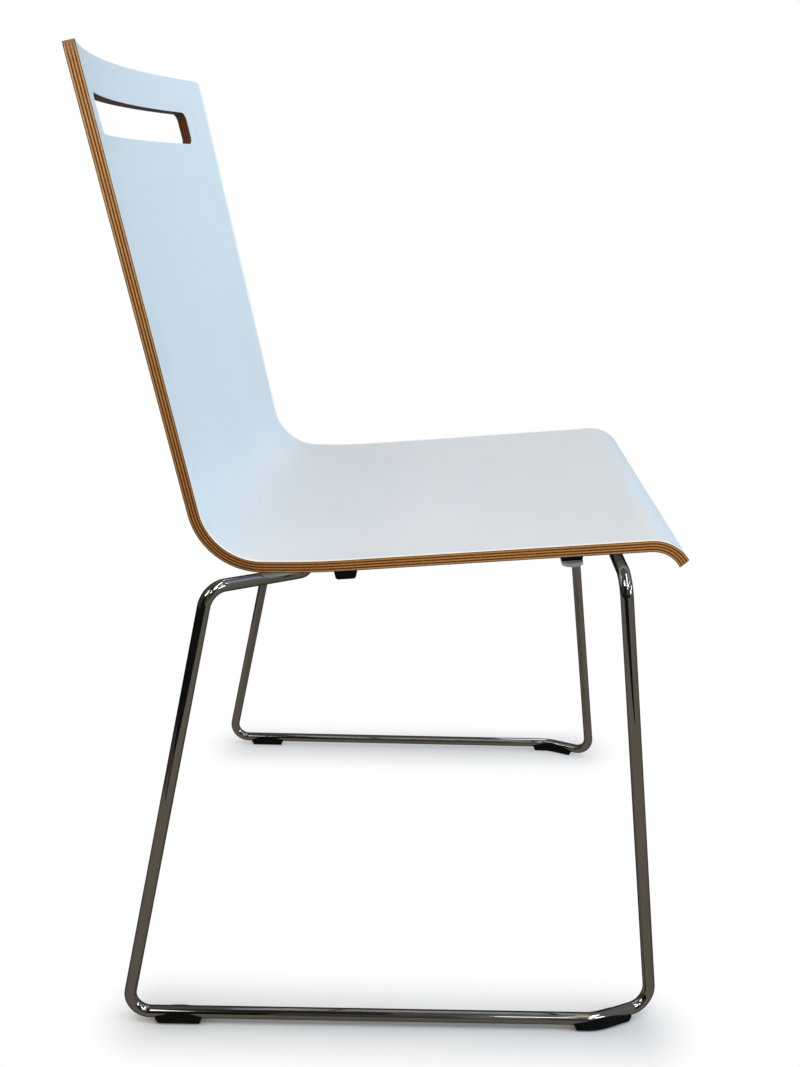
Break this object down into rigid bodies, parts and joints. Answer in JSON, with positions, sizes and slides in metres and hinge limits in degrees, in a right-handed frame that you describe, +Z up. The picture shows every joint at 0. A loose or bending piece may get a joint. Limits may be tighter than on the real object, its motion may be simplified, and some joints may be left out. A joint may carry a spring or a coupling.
{
  "type": "sled base chair",
  "caption": "Stacking chair with a one-piece moulded plywood seat and back, a handle slot, and a bent chromed rod sled frame on black floor glides.",
  "frame": {"origin": "middle of the footprint on the floor, under the middle of the chair's overall width and depth", "axes": "+Z up, the chair faces -Y, X is across the chair and it is symmetric about X = 0"},
  "size_m": [0.5328, 0.5128, 0.835],
  "materials": {
    "laminate": "fine matt high-pressure laminate, brown core at its edge",
    "veneer_light": "lacquered veneer edge, long grain",
    "veneer_dark": "lacquered veneer edge, end grain",
    "insert_brass": "bare",
    "chrome_rod": "bright chrome plate",
    "chrome_plate": "chrome plate on pressed steel",
    "chrome_weld": "plated weld bead",
    "black_plastic": "fine matt",
    "glide_plastic": "satin",
    "screw_steel": "zinc plated"
  },
  "bodies": {
    "root": {"face_laminate": "laminate", "back_laminate": "laminate", "veneer_1": "veneer_light", "veneer_2": "veneer_dark", "veneer_3": "veneer_light", "veneer_4": "veneer_dark", "veneer_5": "veneer_light", "veneer_6": "veneer_dark", "veneer_7": "veneer_light", "shell_inserts": "insert_brass", "frame_right": "chrome_rod", "rail_right": "chrome_rod", "front_tab_right": "chrome_plate", "rear_tab_right": "chrome_plate", "front_spacer_right": "black_plastic", "rear_cap_right": "black_plastic", "front_glide_right": "glide_plastic", "rear_glide_right": "glide_plastic", "frame_left": "chrome_rod", "rail_left": "chrome_rod", "front_tab_left": "chrome_plate", "rear_tab_left": "chrome_plate", "front_spacer_left": "black_plastic", "rear_cap_left": "black_plastic", "front_glide_left": "glide_plastic", "rear_glide_left": "glide_plastic", "rail_welds": "chrome_weld", "tab_welds": "chrome_weld", "mount_screws": "screw_steel", "mount_washers": "screw_steel"}
  },
  "joints": []
}
